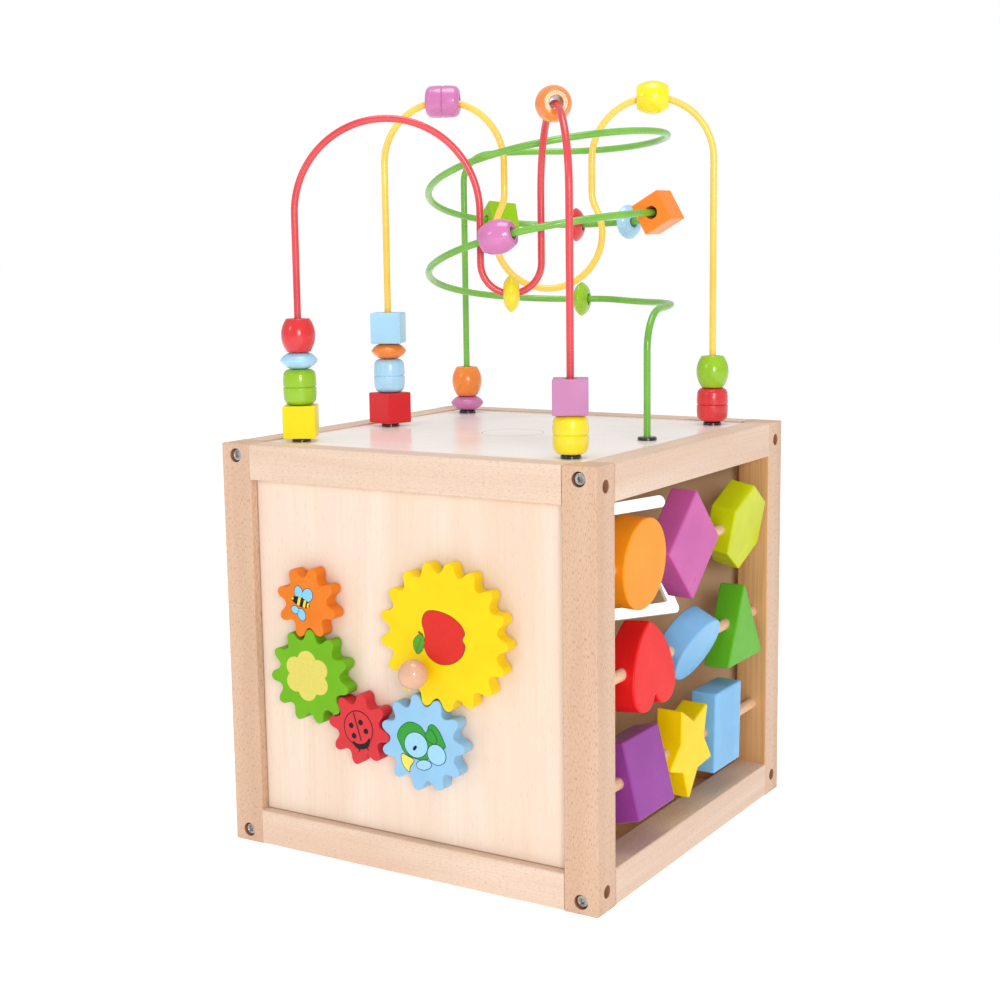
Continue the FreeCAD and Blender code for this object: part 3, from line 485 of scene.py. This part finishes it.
def dress_toys():
    """Paint of the gears, blocks, sliders and hands, lacquer of the beads, coat of the wires."""
    for node, colour in GEAR_PAINT.items():
        dress(node, painted_wood("paint_" + node, colour, 0.46, 0.2))
    for node in nodes:
        if node.endswith("_block"):
            colour = named_colour(BLOCK_PAINT, node)[1]
            # the blocks' strong pale edges are mostly a painted highlight, partly wear
            dress(node, painted_wood("paint_" + node, colour, gloss=0.14, wear_and_highlight=0.42))
    lacquers = {}
    for node in nodes:
        if node.startswith("bead_"):
            word, colour = named_colour(BEAD_PAINT, node)
            shape, maker = ("cube_", flat_lacquer) if "cube" in node else ("turned_", bead_lacquer)
            finish = shape + word
            if finish not in lacquers:
                lacquers[finish] = maker("lacquer_" + finish, colour)
            dress(node, lacquers[finish])
    dress("red_wire", wire_coating("coat_red", srgb(216, 62, 68), srgb(198, 46, 54)))
    dress("yellow_wire", wire_coating("coat_yellow", srgb(246, 206, 84), srgb(240, 192, 62)))
    dress("green_wire", wire_coating("coat_green", srgb(116, 184, 58), srgb(98, 164, 46)))
    dress("maze_slider_upper", painted_wood("paint_slider_red", BEAD_PAINT["red"]))
    dress("maze_slider_lower", painted_wood("paint_slider_blue", BEAD_PAINT["sky"]))
    dress("clock_hour_hand", painted_wood("paint_hour_hand", BEAD_PAINT["red"]))
    dress("clock_minute_hand", painted_wood("paint_minute_hand", BLOCK_PAINT["green"]))


# ---------------------------------------------------------------- new pieces
def piece_from(mesh, name, material):
    """Turn a finished bmesh into an object of the scene with one material."""
    bmesh.ops.recalc_face_normals(mesh, faces=mesh.faces)
    data = bpy.data.meshes.new(name)
    mesh.to_mesh(data)
    mesh.free()
    data.materials.append(material)
    obj = bpy.data.objects.new(name, data)
    bpy.context.scene.collection.objects.link(obj)
    return obj


def join_rings(mesh, first, second):
    """Faces between two rings with the same number of corners."""
    count = len(first)
    for i in range(count):
        k = (i + 1) % count
        mesh.faces.new([first[i], first[k], second[k], second[i]])


# ---------------------------------------------------------------- flat printed shapes
def smooth_outline(points, steps=10):
    """Closed smooth outline through a few (u, v) points."""
    outline = []
    count = len(points)
    for i in range(count):
        p0, p1, p2, p3 = (Vector(points[(i + k) % count]) for k in (-1, 0, 1, 2))
        for step in range(steps):
            t = step / steps
            bend = 2 * p0 - 5 * p1 + 4 * p2 - p3
            twist = 3 * p1 - p0 - 3 * p2 + p3
            outline.append(0.5 * (2 * p1 + (p2 - p0) * t + bend * t * t + twist * t ** 3))
    return outline


def ellipse(centre, radius_u, radius_v, lean=0.0, count=48):
    """Outline of an ellipse whose first axis leans by this many degrees."""
    c, s = math.cos(math.radians(lean)), math.sin(math.radians(lean))
    outline = []
    for i in range(count):
        u = radius_u * math.cos(2 * math.pi * i / count)
        v = radius_v * math.sin(2 * math.pi * i / count)
        outline.append(Vector((centre[0] + u * c - v * s, centre[1] + u * s + v * c)))
    return outline


def stroke(start, end, width):
    """Straight line of ink as a thin quadrilateral."""
    a, b = Vector(start), Vector(end)
    side = (b - a).normalized().orthogonal() * width / 2
    return [a + side, a - side, b - side, b + side]


def widened(outline, by):
    """The outline pushed outwards, for the dark line that surrounds a shape."""
    area = sum(p.x * q.y - q.x * p.y for p, q in zip(outline, outline[1:] + outline[:1]))
    sign = 1 if area > 0 else -1
    result = []
    for i, point in enumerate(outline):
        along = (outline[(i + 1) % len(outline)] - outline[i - 1]).normalized()
        result.append(point + Vector((along.y, -along.x)) * by * sign)
    return result


def printed(name, outlines, origin, right, up, material, body, layer):
    """Thin closed plates in the plane of right and up; outlines are in millimetres."""
    out = right.cross(up)
    mesh = bmesh.new()
    for outline in outlines:
        low = (layer - 1) * INK_LAYER * MM + INK_LIFT * MM
        high = layer * INK_LAYER * MM + INK_LIFT * MM
        rings = []
        for lift in (low, high):
            rings.append([mesh.verts.new(origin + (right * p.x + up * p.y) * MM + out * lift)
                          for p in outline])
        mesh.faces.new(rings[0])
        mesh.faces.new(rings[1])
        join_rings(mesh, *rings)
    obj = piece_from(mesh, name, material)
    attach(obj, body)
    return obj


def on_gear(node):
    """Origin and directions of the printed face of a gear."""
    centre = middle(node)
    return Vector((centre.x, GEAR_FACE, centre.z)), Vector((1, 0, 0)), Vector((0, 0, 1))


INK_COLOURS = {
    "brown": (120, 62, 30),
    "apple_red": (208, 42, 32),
    "leaf_green": (76, 160, 40),
    "pale_yellow": (212, 200, 96),
    "black": (22, 16, 18),
    "shell_red": (208, 50, 57),
    "wing_blue": (128, 196, 234),
    "bee_yellow": (246, 206, 60),
    "bird_green": (50, 150, 50),
    "line_teal": (20, 70, 50),
    "bird_pale": (152, 202, 238),
    "beak_yellow": (236, 216, 92),
    "dial_blue": (96, 176, 222),
    "dial_cream": (250, 242, 214),
    "dial_grey": (90, 90, 96),
}
mixed_inks = {}


def ink(name):
    """The ink of that name, made the first time it is asked for."""
    if name not in mixed_inks:
        mixed_inks[name] = print_ink("ink_" + name, srgb(*INK_COLOURS[name]))
    return mixed_inks[name]


def apple_print():
    """Red apple lying on its side, with a leaf, on the yellow gear."""
    place = on_gear("yellow_gear")
    body = smooth_outline([(-14.2, 2.5), (-15.8, 9.5), (-12.5, 15.8), (-4.5, 17.2), (6.0, 15.0),
                           (14.0, 10.0), (17.2, 4.5), (15.2, 0.2), (17.4, -4.5), (14.2, -11.5),
                           (6.5, -16.8), (-3.5, -17.8), (-11.5, -13.5), (-14.6, -6.5), (-13.6, -1.2)])
    leaf = smooth_outline([(-16.2, 0.5), (-21.0, -2.0), (-23.2, -7.0), (-20.5, -13.0), (-16.5, -10.5),
                           (-14.6, -5.0)])
    stem = [Vector(p) for p in ((-19.5, 1.4), (-18.6, 2.5), (-15.4, 0.6), (-15.6, -0.8))]
    vein = stroke((-21.0, -12.0), (-16.6, -1.5), 0.4)
    rims = [widened(body, 0.5), widened(leaf, 0.4)]
    printed("apple_line", rims, *place, ink("brown"), "yellow_gear", 1)
    printed("apple_body", [body], *place, ink("apple_red"), "yellow_gear", 2)
    printed("apple_leaf", [leaf], *place, ink("leaf_green"), "yellow_gear", 2)
    printed("apple_stem", [stem, vein], *place, ink("brown"), "yellow_gear", 3)


def flower_print():
    """Pale flower with six round petals on the green gear."""
    place = on_gear("green_gear")
    petal_radius, petal_distance, squash, shift = 7.8, 11.6, 0.92, -1.5
    outline = []
    for i in range(180):
        angle = 2 * math.pi * i / 180
        off_axis = (angle % (math.pi / 3)) - math.pi / 6
        across = petal_distance * math.sin(off_axis)
        radius = petal_distance * math.cos(off_axis) + math.sqrt(petal_radius ** 2 - across ** 2)
        outline.append(Vector((shift + radius * math.cos(angle), squash * radius * math.sin(angle))))
    printed("flower_petals", [outline], *place, ink("pale_yellow"), "green_gear", 1)


def ladybird_print():
    """Ladybird drawn with a thin black line on the red gear."""
    place = on_gear("red_gear")
    lean = math.radians(16.0)
    c, s = math.cos(lean), math.sin(lean)

    def turned(u, v):
        return (u * c - v * s, u * s + v * c)

    shell = ellipse((0, 0.6), 11.6, 12.0)
    feelers = [stroke(turned(side * 2.6, -12.0), turned(side * 4.2, -15.4), 0.9) for side in (-1, 1)]
    spot_places = ((-5.2, 3.6), (3.4, 4.4), (-5.0, -3.8), (6.0, -2.2))
    spots = [ellipse(turned(u, v), 2.0, 2.0, count=24) for u, v in spot_places]
    head_points = ((-7.4, -7.2), (-3.6, -9.6), (0, -10.2), (3.6, -9.6), (7.4, -7.2),
                   (6.4, -11.4), (3.0, -13.8), (-3.0, -13.8), (-6.4, -11.4))
    head = smooth_outline([turned(u, v) for u, v in head_points])
    spine = stroke(turned(-0.6, 12.0), turned(0, -8.0), 0.9)
    printed("ladybird_line", [widened(shell, 0.7)] + feelers, *place, ink("black"), "red_gear", 1)
    printed("ladybird_shell", [shell], *place, ink("shell_red"), "red_gear", 2)
    printed("ladybird_spots", spots + [head, spine], *place, ink("black"), "red_gear", 3)


def bee_print():
    """Bee with four blue wings on the orange gear."""
    place = on_gear("orange_gear")
    wings = [ellipse((-5.6, 6.6), 3.4, 4.8, 12), ellipse((2.0, 5.6), 4.2, 4.8, -30),
             ellipse((-9.2, -5.6), 3.2, 2.7, -10), ellipse((-3.6, -8.6), 3.2, 4.2, 20)]
    wing_rims = [widened(wing, 0.4) for wing in wings]
    printed("bee_wing_line", wing_rims, *place, ink("black"), "orange_gear", 1)
    printed("bee_wings", wings, *place, ink("wing_blue"), "orange_gear", 2)
    centre, length, width, lean = Vector((-4.0, 0.2)), 7.6, 3.0, -16.0
    body = ellipse(centre, length, width, lean)
    printed("bee_body", [widened(body, 0.3)], *place, ink("black"), "orange_gear", 3)
    along = Vector((math.cos(math.radians(lean)), math.sin(math.radians(lean))))
    across = Vector((along.y, -along.x))
    stripes = []
    for shift, thickness in ((-1.6, 2.2), (3.4, 2.0), (6.4, 1.4)):
        spot = centre + along * shift
        reach = across * width * math.sqrt(1 - (shift / length) ** 2)
        stripes.append(stroke(spot + reach, spot - reach, thickness))
    nose = ellipse((-11.0, 2.3), 0.9, 0.9, count=20)
    printed("bee_stripes", stripes + [nose], *place, ink("bee_yellow"), "orange_gear", 4)


def bird_print():
    """Plain small bird on the blue gear: green back and wing, pale face and belly, yellow beak."""
    place = on_gear("blue_gear")
    back = smooth_outline([(-20.0, 3.0), (-16.5, 9.5), (-10.0, 13.4), (-2.0, 12.0), (3.5, 7.0), (5.5, 12.5),
                           (9.0, 14.0), (13.0, 11.0), (16.5, 5.0), (18.0, 0.0), (12.0, -3.0), (6.0, -9.0),
                           (-3.0, -11.2), (-13.5, -8.6), (-17.5, -3.0)])
    wing = smooth_outline([(3.0, 7.4), (7.2, 10.6), (11.6, 4.6), (10.4, 1.6), (6.0, 2.2), (3.4, 4.4)])
    face = ellipse((-5.0, -1.6), 9.2, 8.6, 10)
    belly = ellipse((11.4, -6.0), 7.2, 6.8, -20)
    foot = ellipse((1.0, -14.6), 6.0, 3.2, 12)
    beak = smooth_outline([(-16.4, -9.6), (-11.6, -10.6), (-7.2, -12.6), (-10.4, -17.6), (-11.2, -21.0),
                           (-15.2, -17.6), (-17.0, -13.4)])
    eye = ellipse((-6.0, -3.8), 1.2, 2.2, -40, 24)
    outlined = [widened(shape, 0.5) for shape in (face, belly, wing, foot, beak)]
    printed("bird_line", [widened(back, 0.5)], *place, ink("line_teal"), "blue_gear", 1)
    printed("bird_back", [back], *place, ink("bird_green"), "blue_gear", 2)
    printed("bird_inner_line", outlined, *place, ink("line_teal"), "blue_gear", 3)
    printed("bird_face", [face, belly, foot], *place, ink("bird_pale"), "blue_gear", 4)
    printed("bird_wing", [wing], *place, ink("bird_green"), "blue_gear", 4)
    printed("bird_beak", [beak], *place, ink("beak_yellow"), "blue_gear", 4)
    printed("bird_eye", [eye], *place, ink("black"), "blue_gear", 5)


# ---------------------------------------------------------------- clock dial
# All in millimetres.
DIAL_RADIUS = 112
DIAL_BORDER = 4
MARK_END = 80              # outer end of the minute marks
MINUTE_MARK = (77, 0.9)    # inner end and width
HOUR_MARK = (74, 1.8)
NUMBER_CIRCLE = 94
NUMBER_SIZE = 19
NUMBER_WEIGHT = 0.2        # how much the strokes are thickened on each side
NUMBER_LEVEL = 0.17        # middle of the numbers' thickness above the clock panel


def clock_dial():
    """Printed dial: a ring, minute marks and twelve plain numbers."""
    centre = middle("clock_pin")
    origin, right, up = Vector((CLOCK_FACE, centre.y, centre.z)), Vector((0, -1, 0)), Vector((0, 0, 1))
    place = (origin, right, up)
    rim = ellipse((0, 0), DIAL_RADIUS, DIAL_RADIUS, count=128)
    plate = ellipse((0, 0), DIAL_RADIUS - DIAL_BORDER, DIAL_RADIUS - DIAL_BORDER, count=128)
    printed("dial_rim", [rim], *place, ink("dial_blue"), "frame", 1)
    printed("dial_plate", [plate], *place, ink("dial_cream"), "frame", 2)
    marks = []
    for i in range(60):
        angle = math.pi * i / 30
        towards = Vector((math.cos(angle), math.sin(angle)))
        inner, width = HOUR_MARK if i % 5 == 0 else MINUTE_MARK
        marks.append(stroke(towards * inner, towards * MARK_END, width))
    printed("dial_marks", marks, *place, ink("dial_grey"), "frame", 3)
    colours = [ink("apple_red"), ink("dial_blue"), ink("leaf_green")]
    for number in range(1, 13):
        angle = math.radians(90 - 30 * number)
        spot = origin + (right * math.cos(angle) + up * math.sin(angle)) * NUMBER_CIRCLE * MM
        dial_number(number, spot, place, colours[number % 3])


def dial_number(number, spot, place, material):
    """One printed number as a mesh, lying on the dial plate."""
    curve = bpy.data.curves.new("number", "FONT")
    curve.body = str(number)
    curve.size = NUMBER_SIZE * MM
    curve.align_x = "CENTER"
    curve.align_y = "CENTER"
    curve.offset = NUMBER_WEIGHT * MM
    curve.extrude = 0.04 * MM
    writer = bpy.data.objects.new("number", curve)
    bpy.context.scene.collection.objects.link(writer)
    bpy.context.view_layer.update()
    data = bpy.data.meshes.new_from_object(writer)
    bpy.data.objects.remove(writer)
    _, right, up = place
    out = right.cross(up)
    turn = Matrix((right, up, out)).transposed().to_4x4()
    data.transform(Matrix.Translation(spot + out * NUMBER_LEVEL * MM) @ turn)
    obj = bpy.data.objects.new("dial_number_" + str(number), data)
    bpy.context.scene.collection.objects.link(obj)
    data.materials.clear()
    data.materials.append(material)
    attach(obj, "frame")


# ---------------------------------------------------------------- bolts and small details
BOLT_END_FRONT = 0.0082        # distance of the front and back bolts from the posts' ends
BOLT_END_SIDE = 0.0134         # the same for the side bolts, which pass the others
HEAD_DEPTH_FRONT = 0.0016      # how far the heads lie below the wood
HEAD_DEPTH_SIDE = 0.0090


def bolt_faces():
    """Outer face point, outward direction and depth of every bolt head."""
    for sx in (-1, 1):
        for sy in (-1, 1):
            for end in (-1, 1):
                level = HEIGHT / 2 + end * (HEIGHT / 2 - BOLT_END_FRONT)
                yield Vector((sx * POST_CENTRE, sy * HALF, level)), Vector((0, sy, 0)), HEAD_DEPTH_FRONT
                level = HEIGHT / 2 + end * (HEIGHT / 2 - BOLT_END_SIDE)
                yield Vector((sx * HALF, sy * POST_CENTRE, level)), Vector((sx, 0, 0)), HEAD_DEPTH_SIDE


# Radius and depth below the top of the head, from its underside to the rim of its socket, in mm.
HEAD_PROFILE = ((4.2, 3.0), (4.2, 0.7), (3.9, 0.2), (3.3, 0.0), (2.45, 0.0), (2.2, 0.25))
SOCKET_DEPTHS = (0.25, 2.0)


def bolt_heads():
    """Cap heads with a rounded rim and a hexagon socket."""
    angles = [2 * math.pi * i / ROUND_STEPS for i in range(ROUND_STEPS)]
    rings = [[(radius * math.cos(a), radius * math.sin(a), -drop) for a in angles]
             for radius, drop in HEAD_PROFILE]
    for drop in SOCKET_DEPTHS:
        rings.append([(hex_radius(a) * math.cos(a), hex_radius(a) * math.sin(a), -drop) for a in angles])
    mesh = bmesh.new()
    for face, outward, depth in bolt_faces():
        turn = Vector((0, 0, 1)).rotation_difference(outward).to_matrix()
        top = face - outward * depth
        loops = [[mesh.verts.new(turn @ Vector(p) * MM + top) for p in ring] for ring in rings]
        mesh.faces.new(loops[0])
        mesh.faces.new(loops[-1])
        for first, second in zip(loops, loops[1:]):
            join_rings(mesh, first, second)
    obj = piece_from(mesh, "bolt_heads", zinc_steel("steel_bolt"))
    obj.data.shade_smooth()
    keep_corners(obj)
    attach(obj, "frame")
    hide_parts("frame_bolts")


def hex_radius(angle):
    """Distance from the centre of a hexagon to its side, in millimetres."""
    third = math.pi / 3
    return SOCKET_ACROSS / math.cos((angle % third) - third / 2)


def lid_ring():
    """Faint turned line at the centre of the lacquered board."""
    mesh = bmesh.new()
    loops = []
    for radius, lift in ((22.4, 0.0), (22.6, 0.07), (23.0, 0.07), (23.2, 0.0)):
        ring = ellipse((0, 0), radius, radius, count=96)
        loops.append([mesh.verts.new((p.x * MM, p.y * MM, LID_TOP + lift * MM)) for p in ring])
    for first, second in zip(loops, loops[1:] + loops[:1]):
        join_rings(mesh, first, second)
    wood = birch("birch_ring", "X", srgb(226, 196, 164), srgb(206, 170, 134), gloss=True)
    obj = piece_from(mesh, "lid_ring", wood)
    obj.data.shade_smooth()
    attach(obj, "frame")


# ---------------------------------------------------------------- stage, light and camera
ROOM_LIGHT = 0.66      # brightness of the white room as a light source
FLOOR_GLOW = 0.37      # keeps the pale floor as bright as the room behind it


def floor():
    """Wide plain sheet just below the part."""
    half_size, level = 30.0, -0.0002
    finish = Finish("floor_paper")
    speckle = finish.noise((14, 14, 14), 2.0)
    finish.set(Base_Color=finish.blend(speckle, srgb(252, 252, 252), srgb(248, 248, 249)), Roughness=0.9,
               Specular_IOR_Level=0.1, Emission_Color=(1.0, 1.0, 1.0, 1.0), Emission_Strength=FLOOR_GLOW)
    mesh = bmesh.new()
    signs = ((-1, -1), (1, -1), (1, 1), (-1, 1))
    mesh.faces.new([mesh.verts.new((x * half_size, y * half_size, level)) for x, y in signs])
    obj = piece_from(mesh, "floor", finish.material)


def soft_light(name, place, size, power, target=(0, 0, 0.25)):
    """Round soft box aimed at a point of the part; metres and watts."""
    light = bpy.data.lights.new(name, "AREA")
    light.shape = "DISK"
    light.size = size
    light.energy = power
    obj = bpy.data.objects.new(name, light)
    obj.location = place
    aim = Vector(target) - Vector(place)
    obj.rotation_euler = aim.to_track_quat("-Z", "Y").to_euler()
    bpy.context.scene.collection.objects.link(obj)


def studio():
    """White room: dimmer as a light source than as a backdrop, with three soft boxes."""
    world = bpy.data.worlds.new("studio")
    world.use_nodes = True
    tree = world.node_tree
    background = tree.nodes["Background"]
    background.inputs["Color"].default_value = (1.0, 1.0, 1.0, 1.0)
    ray = tree.nodes.new("ShaderNodeLightPath")
    strength = tree.nodes.new("ShaderNodeMapRange")
    strength.inputs["To Min"].default_value = ROOM_LIGHT
    strength.inputs["To Max"].default_value = 1.0
    tree.links.new(ray.outputs["Is Camera Ray"], strength.inputs["Value"])
    tree.links.new(strength.outputs["Result"], background.inputs["Strength"])
    bpy.context.scene.world = world
    soft_light("key", (-0.9, -2.0, 1.3), 0.6, 4.0)
    soft_light("fill", (1.6, -1.8, 0.8), 0.7, 19.0, (0.05, 0.0, 0.16))
    soft_light("top", (0.1, -0.1, 2.3), 1.2, 16.0)
    bpy.context.scene.view_settings.view_transform = "Standard"


CAMERA_PLACE = Vector((0.6280, -1.0393, 0.4272))
CAMERA_AZIMUTH = math.radians(31.62)
CAMERA_ELEVATION = math.radians(8.77)
CAMERA_ROLL = math.radians(-0.77)
CAMERA_LENS = 59.72


def camera():
    """Camera at the photograph's angle, with its slight roll."""
    az, el = CAMERA_AZIMUTH, CAMERA_ELEVATION
    forward = Vector((-math.sin(az) * math.cos(el), math.cos(az) * math.cos(el), -math.sin(el)))
    side = forward.cross(Vector((0, 0, 1))).normalized()
    rise = side.cross(forward)
    right = side * math.cos(CAMERA_ROLL) + rise * math.sin(CAMERA_ROLL)
    up = rise * math.cos(CAMERA_ROLL) - side * math.sin(CAMERA_ROLL)
    data = bpy.data.cameras.new("camera")
    data.lens = CAMERA_LENS
    data.sensor_width = 36.0
    data.clip_end = 100.0
    obj = bpy.data.objects.new("camera", data)
    turn = Matrix((right, up, -forward)).transposed().to_4x4()
    obj.matrix_world = Matrix.Translation(CAMERA_PLACE) @ turn
    bpy.context.scene.collection.objects.link(obj)
    bpy.context.scene.camera = obj


camera()
studio()
floor()
dress_frame()
dress_toys()
apple_print()
flower_print()
ladybird_print()
bee_print()
bird_print()
clock_dial()
bolt_heads()
lid_ring()
